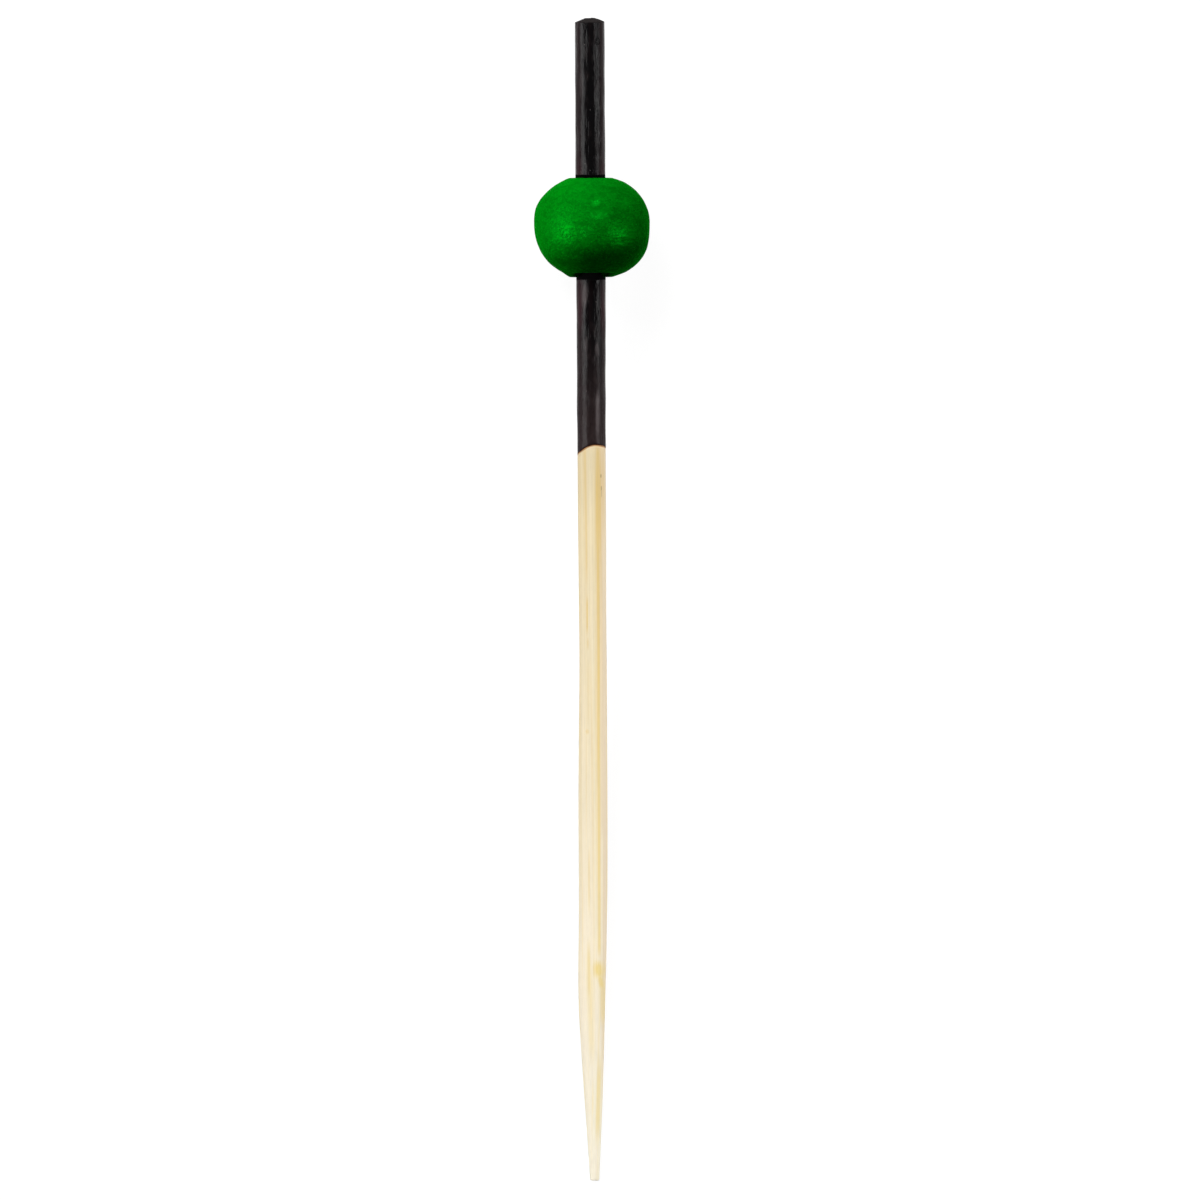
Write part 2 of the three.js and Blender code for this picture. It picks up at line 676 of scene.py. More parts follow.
@dataclass(frozen=True)
class Spot:
    """An oval mark with soft, uneven edges, on the side away from the floor.

    Attributes:
        x: x of its middle.
        y: y of its middle.
        half_width: half its size across the stick.
        half_height: half its size along the stick.
        lean: how far it strays across for each millimetre along.
        strength: how strongly it shows, from 0 to 1.
    """

    x: float
    y: float
    half_width: float
    half_height: float
    lean: float
    strength: float

    def away(self, x: Socket, y: Socket) -> Socket:
        """Distance from its middle, 1 on its outline.

        Args:
            x: place across the stick.
            y: place along it.

        Returns:
            The distance.
        """
        along = y - self.y
        across = (x - self.x - along * self.lean) / self.half_width
        along = along / self.half_height
        return (across * across + along * along).root()

    def mask(self, x: Socket, y: Socket, ragged: Socket) -> Socket:
        """How strongly the spot shows at each point, with an edge that noise round 0.5 makes uneven."""
        away = self.away(x, y) + (ragged - 0.5) * 1.4
        return x.bench.below(away, 0.35, 1.25) * self.strength


def strongest(masks: Iterable[Socket]) -> Socket:
    """The largest of several masks at each point."""
    return functools.reduce(Socket.most, masks)


@dataclass(frozen=True)
class Finish(OnPick):
    """What the finishes share."""

    def start(self, name: str) -> tuple[Bench, Socket]:
        """Starts a material, with the place of each point of the surface in the pick's space."""
        bench = Bench(bpy.data.materials.new(name))
        return bench, bench.pick_space(self.space)

    def above_dip(self, x: Socket, y: Socket, z: Socket) -> Socket:
        """Distance along the stick from the slanting edge of the coat, positive on the coat.

        Args:
            x: place across the stick.
            y: place along it.
            z: place away from the floor.

        Returns:
            The distance in millimetres.
        """
        sizes = self.sizes
        slope = sizes.dip_reach / sizes.radius
        slant = x * (slope * math.cos(sizes.dip_turn)) + z * (slope * math.sin(sizes.dip_turn))
        facing = (z / sizes.radius).most(0.0)
        return y - sizes.dip - slant - facing * facing * facing * facing * DIP_CREST


@dataclass(frozen=True)
class BambooFinish(Finish):
    """Bare split bamboo: pale, with golden fibre bundles along it, and paler towards the point: partly the
    paler sharpened wood, partly painted light.

    Attributes:
        splits: the short dark splits.
        tip_colour: colour at the very tip.
        point_colour: colour of the shaft near the point.
        shaft_colour: colour near the black end.
        gold: colour of the bundles near the black end.
        pale_gold: colour of the bundles near the tip.
        rosy: colour of the flank on the +x side.
        stain: colour of the edge that the black coat has stained.
        split: colour of the dark splits.
        streaks: the golden bands that stand out.
        pale_streaks: the pale ones.
        patch: the place where the sharpening has cut a bundle open.
        relief: depth of the fibres' relief.
    """

    splits: tuple[Split, ...]
    tip_colour: Colour = (0.99, 0.92, 0.74)
    point_colour: Colour = (0.97, 0.87, 0.69)
    shaft_colour: Colour = (0.820, 0.695, 0.455)
    gold: Colour = (0.75, 0.53, 0.18)
    pale_gold: Colour = (0.92, 0.75, 0.32)
    rosy: Colour = (0.86, 0.71, 0.52)
    stain: Colour = (0.30, 0.12, 0.035)
    split: Colour = (0.15, 0.065, 0.010)
    streaks: tuple[Streak, ...] = (
        Streak(23.6, 76.0, 0.54, 0.62, 0.19, 0.8, 0.80),
        Streak(64.0, 76.0, 0.62, 0.64, 0.36, 5.0, 0.85),
        Streak(68.0, 76.0, 1.05, 1.05, 0.30, 4.0, 0.45),
        Streak(56.9, 60.3, -0.56, -0.56, 0.11, 0.7, 0.75),
        Streak(55.2, 56.2, -0.50, -0.50, 0.10, 0.4, 0.50),
        Streak(50.4, 51.3, -0.52, -0.52, 0.10, 0.4, 0.35),
        Streak(47.5, 53.6, -0.50, -0.48, 0.15, 1.2, 0.25),
        Streak(28.5, 34.0, -0.48, -0.46, 0.12, 1.5, 0.50),
        Streak(65.5, 67.6, -0.62, -0.62, 0.10, 0.6, 0.45),
        Streak(69.6, 71.6, -0.66, -0.66, 0.10, 0.6, 0.40),
        Streak(62.6, 76.0, -0.60, -0.68, 0.15, 1.6, 0.42),
        Streak(19.0, 24.3, -0.56, -0.57, 0.18, 1.5, 0.75),
        Streak(13.0, 22.5, -0.32, -0.56, 0.34, 2.0, 0.38),
        Streak(20.2, 21.0, 0.74, 0.62, 0.14, 0.3, 0.70),
        Streak(16.5, 20.4, 0.92, 0.86, 0.34, 0.8, 0.50),
        Streak(4.6, 12.2, 0.22, 0.48, 0.25, 1.8, 0.72),
        Streak(30.0, 60.0, -1.32, -1.32, 0.12, 5.0, 0.22),
    )
    pale_streaks: tuple[Streak, ...] = (
        Streak(22.0, 36.0, 0.84, 0.90, 0.11, 2.0, 0.45),
        Streak(50.0, 76.0, -0.10, -0.15, 0.16, 6.0, 0.35),
    )
    patch: tuple[Spot, ...] = (
        Spot(0.46, 21.95, 0.70, 1.10, -0.08, 1.0),
        Spot(0.68, 20.7, 0.36, 1.00, -0.20, 0.90),
        Spot(-0.62, 46.6, 0.22, 0.30, 0.0, 0.5),
    )
    relief: float = 0.02

    def material(self) -> bpy.types.Material:
        """Builds the material.

        Returns:
            The finished material.
        """
        bench, place = self.start("bare_bamboo")
        x, y, z = bench.parts(place)
        strands = bench.clouds(place, 9.0, 0.16, detail=3.0, roughness=0.6)
        bands = bench.clouds(place, 2.4, 0.018, detail=2.0)
        drift = bench.clouds(place, 0.9, 0.05, detail=1.0)
        bundles = bench.cells(place, 2.3, 0.022)
        front = bench.between(z, -0.1, 0.25)
        wander = x + (drift - 0.5) * 0.16
        # Paler towards the point: partly the paler sharpened wood, partly painted light that grows towards
        # the point.
        toward_dip = bench.between(y, 0.0, self.sizes.dip)
        body = bench.mix(toward_dip, self.point_colour, self.shaft_colour)
        body = bench.mix(bench.between(y, 21.0, 3.0) * 0.8, body, self.tip_colour)
        gold = bench.mix(toward_dip, self.pale_gold, self.gold)
        flank = bench.between(wander, 0.55, 0.95)
        body = bench.mix(flank * 0.75, body, self.rosy)
        body = bench.mix(bench.between(bands, 0.50, 0.70) * 0.30, body, gold)
        fibres = bench.below(bundles, 0.10, 0.34) * bench.between(drift, 0.35, 0.62)
        body = bench.mix(fibres * 0.28, body, gold)
        marks = [streak.mask(wander, y) for streak in self.streaks]
        marks += [spot.mask(wander, y, strands) for spot in self.patch]
        shown = strongest(marks) * front
        body = bench.mix(shown * (0.60 + strands * 0.7), body, gold)
        pale = strongest(streak.mask(wander, y) for streak in self.pale_streaks) * front
        body = bench.mix(pale, body, self.tip_colour)
        flecks = bench.clouds(place, 6.0, 1.1, detail=2.0, roughness=0.6)
        near_coat = bench.between(y, 66.0, 74.0)
        body = bench.shade(body, 0.86 + strands * 0.20 + flecks * 0.08 - near_coat * 0.06)
        edge = self.above_dip(x, y, z)
        body = bench.mix(bench.between(edge + strands * 0.08, -0.13, -0.02) * 0.85, body, self.stain)
        dark = strongest(split.mark().mask(x, y) for split in self.splits) * front
        body = bench.mix(dark, body, self.split)
        pores = bench.clouds(place, 22.0, 0.9, detail=1.0)
        return bench.finish({
            "Base Color": body,
            "Roughness": 0.46 + strands * 0.22,
            "Specular IOR Level": 0.10,
            "Normal": bench.bump(strands * 0.7 + pores * 0.3, self.relief),
        })


@dataclass(frozen=True)
class CoatFinish(Finish):
    """Thin satin black coat on the bamboo: it lets the fibres be felt, and thins out towards its edge.

    Attributes:
        black: where the coat is full.
        lightened: where it has thinned to a dusty dark grey.
        warm_and_sheen: dark reddish brown where the bamboo shows through in bands, and painted sheen on the
            flanks.
        red: at the flanks near the ball, where it is reddest.
        edge: the brown line in which the coat ends.
        fleck: tiny pale specks.
        painted_sheen: colour of the painted sheen streaks.
        worn: on the cut end.
        corner: painted shadow where the coat meets the ball, and the dark ring of the knot.
        thinning: length over which the coat thins out towards its edge.
        relief: depth of its brushed relief.
        knot: a small knot under the coat, near the cut end.
        sheen_streaks: the places where sheen streaks along the stick are painted.
    """

    black: Colour = (0.0036, 0.0032, 0.0036)
    lightened: Colour = (0.0250, 0.0160, 0.0160)
    warm_and_sheen: Colour = (0.0150, 0.0062, 0.0072)
    red: Colour = (0.0260, 0.0040, 0.0075)
    edge: Colour = (0.1500, 0.0500, 0.0150)
    fleck: Colour = (0.1100, 0.0950, 0.0950)
    painted_sheen: Colour = (0.0680, 0.0530, 0.0540)
    worn: Colour = (0.0150, 0.0125, 0.0125)
    corner: Colour = (0.0004, 0.0003, 0.0004)
    thinning: float = 13.0
    relief: float = 0.20
    knot: Spot = Spot(0.78, 117.6, 0.26, 0.32, 0.0, 1.0)
    sheen_streaks: tuple[Spot, ...] = (
        Spot(-0.80, 91.7, 0.42, 1.60, 0.0, 1.00),
        Spot(-0.55, 86.4, 0.26, 0.90, 0.0, 0.40),
        Spot(0.60, 86.0, 0.24, 0.80, 0.0, 0.45),
        Spot(0.62, 79.2, 0.28, 2.80, 0.0, 0.95),
        Spot(-0.90, 113.2, 0.24, 1.60, 0.0, 0.35),
    )

    def material(self) -> bpy.types.Material:
        """Builds the material.

        Returns:
            The finished material.
        """
        sizes = self.sizes
        bench, place = self.start("black_satin_coat")
        x, y, z = bench.parts(place)
        above = self.above_dip(x, y, z)
        fibres = bench.clouds(place, 9.0, 0.2, detail=3.0, roughness=0.6)
        bands = bench.clouds(place, 2.6, 0.07, detail=2.0)
        blotches = bench.clouds(place, 1.8, 0.65, detail=3.0, roughness=0.6)
        waves = bench.clouds(place, 0.9, 0.30, detail=2.0, roughness=0.6)
        flanks = bench.between(abs(x - 0.06), sizes.radius * 0.5, sizes.radius * 0.85)
        thinned = bench.below(above, 0.0, self.thinning)
        body = bench.mix(thinned * 0.75 + bench.between(blotches, 0.5, 0.75) * 0.25, self.black, self.lightened)
        # The flanks are painted lighter and warmer: a painted edge sheen. The bands add the same colour at
        # random.
        body = bench.mix((bench.between(bands, 0.52, 0.72) * 0.3 + flanks * 0.7).least(1.0), body, self.warm_and_sheen)
        body = bench.mix(bench.below(above + fibres * 0.16, 0.06, 0.24) * 0.85, body, self.edge)
        points = bench.cells(place, 1.9, 1.1)
        luck, _, _ = bench.parts(points.beside("Color"))
        flecks = bench.below(points, 0.05, 0.10) * bench.between(luck, 0.90, 0.93)
        body = bench.mix(flecks * 0.8, body, self.fleck)
        # Painted sheen: grey streaks along the stick, where the gloss would show.
        highlight_mask = strongest(spot.mask(x, y, blotches) for spot in self.sheen_streaks) * bench.between(z, 0.0, 0.3)
        body = bench.mix(highlight_mask * (0.4 + fibres), body, self.painted_sheen)
        low_face = sizes.ball_height - sizes.drop
        high_face = sizes.ball_height + sizes.rise
        # The flanks near the ball are painted redder, on top of their painted edge sheen.
        reddened = bench.window(y, low_face - 5.0, high_face + 1.5, 2.0) * flanks
        body = bench.mix(reddened * 0.8, body, self.red)
        # Painted shadow on the coat next to the ball, whose gloss the roughness below takes out; the knot's
        # dark ring shares its colour.
        corner = bench.window(y + fibres * 0.2, low_face - 0.18, high_face + 0.44, 0.06)
        knot = abs(self.knot.away(x, y) - 0.8)
        knot = bench.below(knot + fibres * 0.2, 0.15, 0.50) * bench.between(z, 0.0, 0.3)
        body = bench.mix(corner.most(knot * 0.8), body, self.corner)
        shoulder = sizes.length - sizes.end_rise
        cut = bench.between(y, shoulder - 0.16, shoulder + 0.04)
        body = bench.mix(cut * 0.9, body, self.worn)
        rough = 0.10 + bench.between(blotches, 0.42, 0.66) * 0.16 + thinned * 0.16
        height = fibres * 0.12 + blotches * 0.28 + waves * 0.60 - knot * 0.3
        return bench.finish({
            "Base Color": body,
            "Roughness": rough.most(corner.most(cut)),
            "Specular IOR Level": 0.08,
            "Normal": bench.bump(height, self.relief),
        })


@dataclass(frozen=True)
class LacquerFinish(Finish):
    """Green lacquer over turned wood: deep, satin, and a little uneven.

    Attributes:
        green: where the lacquer lies evenly.
        deep: colour of the painted shade, towards +x and the ball's lower half.
        bright: colour of the painted highlights, on the highlight spots, the wrinkles and the lathe marks.
        corner: colour of the painted shade in the mouths and round the lower one, against the black stick.
        sheen: colour of its sheen and highlights.
        relief: depth of its dimples and wrinkles.
        highlight_spots: the painted highlights, whose y is measured from the ball's widest ring.
    """

    green: Colour = (0.0, 0.180, 0.0040)
    deep: Colour = (0.0, 0.028, 0.0006)
    bright: Colour = (0.001, 0.400, 0.0120)
    corner: Colour = (0.0, 0.004, 0.0003)
    sheen: Colour = (0.02, 1.0, 0.06)
    relief: float = 0.16
    highlight_spots: tuple[Spot, ...] = (
        Spot(-2.95, 0.10, 1.30, 2.00, 0.10, 0.30),
        Spot(-2.70, -0.75, 0.85, 1.00, 0.10, 0.45),
        Spot(0.54, 2.42, 0.46, 0.36, 0.30, 1.0),
        Spot(0.80, 1.20, 1.00, 0.60, 0.20, 0.45),
        Spot(-0.60, -0.60, 0.80, 0.70, 0.20, 0.30),
        Spot(2.86, -0.70, 1.00, 0.50, 0.10, 0.30),
    )

    def material(self) -> bpy.types.Material:
        """Builds the material.

        Returns:
            The finished material.
        """
        sizes = self.sizes
        bench, place = self.start("green_lacquer_finish")
        x, y, z = bench.parts(place)
        up = y - sizes.ball_height
        runs = bench.clouds(place, 0.55, 0.55, detail=2.0)
        dimples = bench.clouds(place, 2.6, 2.6, detail=3.0, roughness=0.55)
        marks = bench.clouds(place, 0.4, 3.0, detail=1.0)
        # Painted shade: the lacquer is darkened towards +x and towards the ball's lower half, with random
        # runs in it.
        shade_and_runs = x * 0.52 + bench.between(up, -0.7, -4.0) * 3.7 + (runs - 0.5) * 2.5
        shade_share = bench.between(shade_and_runs, -2.0, 4.4)
        body = bench.mix(shade_share, self.green, self.deep)
        # The top is painted up to 8 % darker: painted shade. The dimples vary the tone at random.
        body = bench.shade(body, 0.80 + dimples * 0.40 - bench.between(up, 1.0, 3.5) * 0.08)
        folds = bench.clouds(place, 1.1, 1.7, detail=3.0, roughness=0.6)
        wrinkles = bench.below(abs(folds - 0.5), 0.0, 0.06)
        body = bench.shade(body, 1.0 + (folds - 0.5) * 0.7)
        # Painted highlights: the highlight spots and the wrinkles are lightened towards bright, the wrinkles
        # less where shade is painted.
        highlight_mask = strongest(spot.mask(x, up, folds) for spot in self.highlight_spots) * bench.between(z, 0.5, 1.5)
        lightened = highlight_mask * (0.35 + wrinkles * 0.55) + wrinkles * (0.11 - shade_share * 0.09)
        body = bench.mix(lightened, body, self.bright)
        out = (x * x + z * z).root()
        # Painted shade: the lacquer is darkened inside the mouths and round the lower mouth.
        in_mouth = bench.below(out, sizes.mouth - 0.15, sizes.mouth + 0.05)
        under = bench.below(out, sizes.face - 0.1, sizes.face + 2.0) * bench.between(up, -3.0, -4.0)
        body = bench.mix(in_mouth.most(under * 0.9), body, self.corner)
        # Lathe marks on the +x side below the widest ring, painted lighter: a painted highlight along real
        # marks that the relief also carries.
        turned_here = bench.window(up, -1.9, -0.6, 0.5) * bench.window(x, 1.9, 4.0, 0.9)
        lines = bench.between(marks, 0.48, 0.62) * turned_here
        body = bench.mix(lines * 0.22, body, self.bright)
        height = dimples * 0.4 + wrinkles * (0.18 + highlight_mask * 0.25) + marks * (0.06 + turned_here * 0.4)
        return bench.finish({
            "Base Color": body,
            "Metallic": 0.17,
            "Roughness": 0.21 + dimples * 0.14,
            "Specular IOR Level": 0.0,
            "Specular Tint": self.sheen,
            "Sheen Weight": 0.15,
            "Sheen Roughness": 0.30,
            "Sheen Tint": self.sheen,
            "Normal": bench.bump(height, self.relief),
        })


@dataclass(frozen=True)
class TurnedWoodFinish(Finish):
    """Plain hardwood with turning marks, under the lacquer.

    Attributes:
        early: colour of the soft rings.
        late: colour of the dense ones.
    """

    early: Colour = (0.70, 0.52, 0.28)
    late: Colour = (0.50, 0.33, 0.15)

    def material(self) -> bpy.types.Material:
        """Builds the material.

        Returns:
            The finished material.
        """
        bench, place = self.start("turned_hardwood")
        rings = bench.clouds(place, 1.8, 0.25, detail=3.0, roughness=0.55)
        pores = bench.clouds(place, 12.0, 1.2, detail=2.0)
        body = bench.mix(bench.between(rings, 0.42, 0.62), self.early, self.late)
        return bench.finish({
            "Base Color": bench.shade(body, 0.88 + pores * 0.24),
            "Roughness": 0.55 + pores * 0.25,
            "Specular IOR Level": 0.35,
            "Normal": bench.bump(pores, 0.02),
        })


@dataclass(frozen=True)
class GlueFinish(Finish):
    """Dried clear wood glue, yellowish and a little cloudy.

    Attributes:
        clear: colour of the film.
        cloudy: colour where it has bubbles in it.
    """

    clear: Colour = (0.62, 0.50, 0.28)
    cloudy: Colour = (0.80, 0.74, 0.58)

    def material(self) -> bpy.types.Material:
        """Builds the material.

        Returns:
            The finished material.
        """
        bench, place = self.start("dried_glue")
        bubbles = bench.clouds(place, 4.0, 4.0, detail=3.0)
        return bench.finish({
            "Base Color": bench.mix(bench.between(bubbles, 0.4, 0.65), self.clear, self.cloudy),
            "Roughness": 0.25 + bubbles * 0.2,
            "Normal": bench.bump(bubbles, 0.01),
        })


@dataclass(frozen=True)
class Bend:
    """A gentle departure of the split stick from a straight, even one, in millimetres.

    Attributes:
        size: how far it goes.
        middle: height of its middle.
        width: how far it spreads along the stick.
    """

    size: float
    middle: float
    width: float


def bent(bends: Iterable[Bend], height: float) -> float:
    """How far several bends go together at a height."""
    return sum(bend.size * hump(height, bend.middle, bend.width) for bend in bends)


@dataclass(frozen=True)
class Ramp:
    """A departure that grows between two places and then stays, in millimetres.

    Attributes:
        size: how far it goes.
        start: the place where it starts.
        end: the place where it is complete.
    """

    size: float
    start: float
    end: float

    def at(self, place: float) -> float:
        """How far it has gone at a place."""
        return self.size * ease(place, self.start, self.end)

    def left(self, place: float) -> float:
        """How far it still has to go at a place."""
        return self.size * (1.0 - ease(place, self.start, self.end))


@dataclass(frozen=True)
class Stick(OnPick):
    """The bamboo stick and the black coat over its upper end.

    Attributes:
        sides: points round the stick.
        ring_step: widest step between rings.
        crown: how full the point is; 1 is a straight cone.
        tip_rounding: radius of the tip's edge.
        edge_rounding: radius of the edge of the cut end.
        ridge_depth: depth of the fibre ridges.
        facet_depth: how far the point departs from round.
        dip_blend: length over which the rings turn to follow the coat's edge.
        ragged: how far the coat's edge strays along the fibres.
        coat_proud: how far the coat stands proud of the bamboo.
        clearance: gap kept between the coat and the bamboo in it.
        torn: how far the fibres of the blunt tip stand out and in.
        wave: how far the coat's brushed waves stand out and in.
        end_grain: how far the fibres of the cut end stand out and in.
        end_lean: how much higher the cut end lies for each millimetre towards +x.
        end_step: widest step between rings on the slope of the cut end.
        thicker: where the stick is thicker than its nominal radius, or thinner.
        widening: where it grows thicker for good, towards the cut end.
        tip_waist: how much thinner it is at the tip, and where that ends.
        aside: where its middle strays towards +x, or away from it: the point was sharpened off centre.
        tip_aside: how far the point as a whole lies away from +x, and where that ends.
        lifted: where its middle strays away from the floor, or towards it.
        splits: the splits in the bamboo.
    """

    sides: int = 128
    ring_step: float = 0.24
    crown: float = 1.35
    tip_rounding: float = 0.12
    edge_rounding: float = 0.12
    ridge_depth: float = 0.011
    facet_depth: float = 0.022
    dip_blend: float = 10.0
    ragged: float = 0.035
    coat_proud: float = 0.012
    clearance: float = 0.01
    torn: float = 0.07
    wave: float = 0.035
    end_grain: float = 0.03
    end_lean: float = 0.04
    end_step: float = 0.09
    thicker: tuple[Bend, ...] = (
        Bend(0.05, 39.0, 6.0),
        Bend(0.028, 105.0, 7.0),
        Bend(0.05, 17.0, 4.0),
        Bend(-0.052, 59.0, 9.0),
        Bend(-0.03, 76.0, 7.0),
        Bend(-0.02, 25.0, 2.5),
    )
    widening: tuple[Ramp, ...] = (
        Ramp(0.045, 56.0, 68.0),
        Ramp(0.02, 112.0, 118.0),
    )
    tip_waist: Ramp = Ramp(0.03, 3.0, 9.0)
    aside: tuple[Bend, ...] = (
        Bend(-0.20, 18.5, 8.5),
        Bend(-0.05, 37.0, 7.0),
        Bend(-0.03, 78.0, 6.0),
        Bend(0.03, 30.0, 4.0),
        Bend(0.035, 53.0, 3.5),
        Bend(-0.035, 20.0, 3.0),
    )
    tip_aside: Ramp = Ramp(0.05, 15.0, 24.0)
    lifted: tuple[Bend, ...] = (
        Bend(0.05, 16.0, 8.0),
        Bend(-0.05, 62.0, 12.0),
    )
    splits: tuple[Split, ...] = (
        Split(0.93, 72.80, 73.10, 0.03, 0.060, 0.60),
        Split(0.96, 71.45, 71.90, 0.03, 0.050, 0.55),
        Split(0.97, 70.80, 71.50, 0.02, 0.040, 0.30),
    )

    def dip_line(self, turn: float) -> float:
        """Height of the coat's edge.

        Args:
            turn: the turn round the stick.

        Returns:
            The height, which strays along the fibres.
        """
        slant = self.sizes.dip_reach * math.cos(turn - self.sizes.dip_turn)
        crest = DIP_CREST * max(0.0, math.sin(turn)) ** 4
        stray = grain_round(turn, 4.0, 3.0) + 0.8 * grain_round(turn, 14.0, 9.0)
        return self.sizes.dip + slant + crest + self.ragged * stray

    def _swell(self, height: float) -> float:
        """How much the stick is thicker than its nominal radius at a height."""
        towards_end = sum(ramp.at(height) for ramp in self.widening)
        return bent(self.thicker, height) + towards_end - self.tip_waist.left(height)

    def _ridges(self, height: float, turn: float) -> float:
        """Height of the fibre ridges, and of the facets on the point, above the even stick.

        Args:
            height: the height along the stick.
            turn: the turn round it.

        Returns:
            The distance outwards.
        """
        fine = grain_round(turn, 9.0, 0.05 * height)
        broad = grain_round(turn, 2.4, 0.025 * height, shift=5.0)
        facets = grain_round(turn, 1.9, 0.06 * height + 20.0)
        sharpened = 1.0 - ease(height, self.sizes.point * 0.75, self.sizes.point)
        return self.ridge_depth * (fine + 1.3 * broad) + self.facet_depth * sharpened * facets

    def _shape(self, out: float, height: float, turn: float, proud: float = 0.0) -> Vector:
        """Places a point of the stick's skin.

        Args:
            out: nominal distance from the axis.
            height: nominal height.
            turn: turn round the axis.
            proud: extra distance outwards.

        Returns:
            The point in the pick's space.
        """
        near_dip = 1.0 - ease(abs(height - self.sizes.dip), 0.0, self.dip_blend)
        real = height + near_dip * (self.dip_line(turn) - self.sizes.dip)
        whole = ease(out, 0.0, self.sizes.tip)
        out += whole * (self._swell(real) + self._ridges(real, turn) + proud)
        x = bent(self.aside, real) - self.tip_aside.left(real)
        return Vector((x + out * math.cos(turn), real, bent(self.lifted, real) + out * math.sin(turn)))

    def _bamboo_shape(self, out: float, height: float, turn: float) -> Vector:
        """Places a point of the bamboo, with its splits and the torn fibres of its blunt tip.

        Args:
            out: nominal distance from the axis.
            height: nominal height.
            turn: turn round the axis.

        Returns:
            The point in the pick's space.
        """
        sunk = 0.0
        if out > self.sizes.core and math.sin(turn) >= 0.0:
            x = self.sizes.radius * math.cos(turn)
            sunk = sum(split.sunk(x, height) for split in self.splits)
        point = self._shape(out - sunk, height, turn)
        if height < self.tip_rounding:
            fibre = grain(3.1 * point.x, 0.0, 3.1 * point.z) + 0.6 * grain(9.0 * point.x, 4.0, 9.0 * point.z)
            point.y += self.torn * fibre * (1.0 - height / self.tip_rounding)
        return point

    def _coat_shape(self, out: float, height: float, turn: float) -> Vector:
        """Places a point of the coat, with brushed waves on its outside and fibres on the cut end.

        Args:
            out: nominal distance from the axis.
            height: nominal height.
            turn: turn round the axis.

        Returns:
            The point in the pick's space.
        """
        point = self._shape(out, height, turn, self.coat_proud if out > self.sizes.core else 0.0)
        if out > self.sizes.core + self.clearance:
            wave = self.wave * grain_round(turn, 2.1, 0.33 * height + 7.0)
            point.x += wave * math.cos(turn)
            point.z += wave * math.sin(turn)
        at_end = ease(height, self.sizes.length - self.sizes.end_rise - 0.3, self.sizes.length - 0.1)
        fibre = grain(2.2 * point.x, 1.0, 2.2 * point.z) + 0.7 * grain(7.5 * point.x, 5.0, 7.5 * point.z)
        point.y += at_end * (self.end_grain * fibre + self.end_lean * point.x)
        return point

    def _point_profile(self) -> Profile:
        """The blunt tip and the sharpened stretch, up to the full stick.

        Returns:
            The profile, from the axis outwards.
        """
        sizes = self.sizes
        flat = sizes.tip - self.tip_rounding
        profile = [(0.0, 0.0)] + [(out, 0.0) for out in spread(flat / 4, flat, flat / 4)]
        for turn in spread(15.0, 90.0, 15.0):
            swing = math.radians(turn)
            out = flat + self.tip_rounding * math.sin(swing)
            profile.append((out, self.tip_rounding * (1.0 - math.cos(swing))))
        for height in spread(self.tip_rounding, sizes.point, self.ring_step)[1:]:
            share = (height - self.tip_rounding) / (sizes.point - self.tip_rounding)
            grown = 1.0 - (1.0 - share) ** self.crown
            profile.append((sizes.tip + (sizes.radius - sizes.tip) * grown, height))
        return profile

    def _end_height(self, out: float) -> float:
        """Height of the cut end at a distance from the axis: a worn slope round a flat."""
        outward = max(0.0, out - self.sizes.end_face) / (self.sizes.radius - self.sizes.end_face)
        return self.sizes.length - self.sizes.end_rise * outward

    def _seat_profile(self, sink: float) -> Profile:
        """The seat that the coat covers, from the coat's edge up and over the cut end.

        Args:
            sink: how far the profile lies inside the seat.

        Returns:
            The profile, towards the axis.
        """
        sizes = self.sizes
        core = sizes.core - sink
        under = sizes.radius - sizes.core + sink
        top = self._end_height(core) - under
        profile = [(core, height) for height in spread(sizes.dip, top, self.ring_step * 3)]
        for out in (core * 0.75, core * 0.5, sizes.end_face, sizes.end_face / 2, 0.0):
            profile.append((out, self._end_height(out) - under))
        return profile

    def bamboo(self) -> bpy.types.Object:
        """Makes the bamboo stick.

        Returns:
            The dressed piece.
        """
        sizes = self.sizes
        shaft = [(sizes.radius, height) for height in spread(sizes.point, sizes.dip, self.ring_step)[1:]]
        profile = self._point_profile() + shaft + self._seat_profile(self.clearance)
        piece = turned("bamboo_stick", self.space, profile, self._bamboo_shape, self.sides, Closing.ON_AXIS)
        finish = BambooFinish(self.space, sizes, self.splits)
        return settle(piece, "bamboo_skewer", finish.material())

    def coat(self) -> bpy.types.Object:
        """Makes the black coat.

        Returns:
            The dressed piece.
        """
        sizes = self.sizes
        radius = sizes.radius
        soft = self.edge_rounding
        shoulder = sizes.length - sizes.end_rise
        profile = [(0.0, sizes.length), (sizes.end_face / 2, sizes.length)]
        slope = spread(sizes.end_face, radius - soft, self.end_step)
        profile += [(out, self._end_height(out)) for out in slope]
        for turn in spread(20.0, 80.0, 20.0):
            swing = math.radians(turn)
            out = radius - soft * (1.0 - math.sin(swing))
            profile.append((out, self._end_height(radius - soft) - soft * (1.0 - math.cos(swing))))
        side = reversed(spread(sizes.dip, shoulder - soft, self.ring_step))
        profile += [(radius, height) for height in side]
        profile += self._seat_profile(0.0)
        profile.reverse()
        piece = turned("black_end", self.space, profile, self._coat_shape, self.sides, Closing.ON_AXIS)
        finish = CoatFinish(self.space, sizes)
        return settle(piece, "black_coat", finish.material())


@dataclass(frozen=True)
class Swell:
    """A broad swelling or flat place on the ball.

    Attributes:
        bearing: its turn round the ball as seen from above, in degrees from +x towards the cut end.
        height: how far it stands out, negative for a flat place.
        width: how wide it is, in degrees.
    """

    bearing: float
    height: float
    width: float

    def at(self, way: Vector) -> float:
        """How far the swelling stands out.

        Args:
            way: direction from the ball's middle.

        Returns:
            The distance outwards.
        """
        turn = math.radians(self.bearing)
        towards = Vector((math.cos(turn), math.sin(turn), 0.0))
        return self.height * hump(math.degrees(towards.angle(way)), 0.0, self.width)


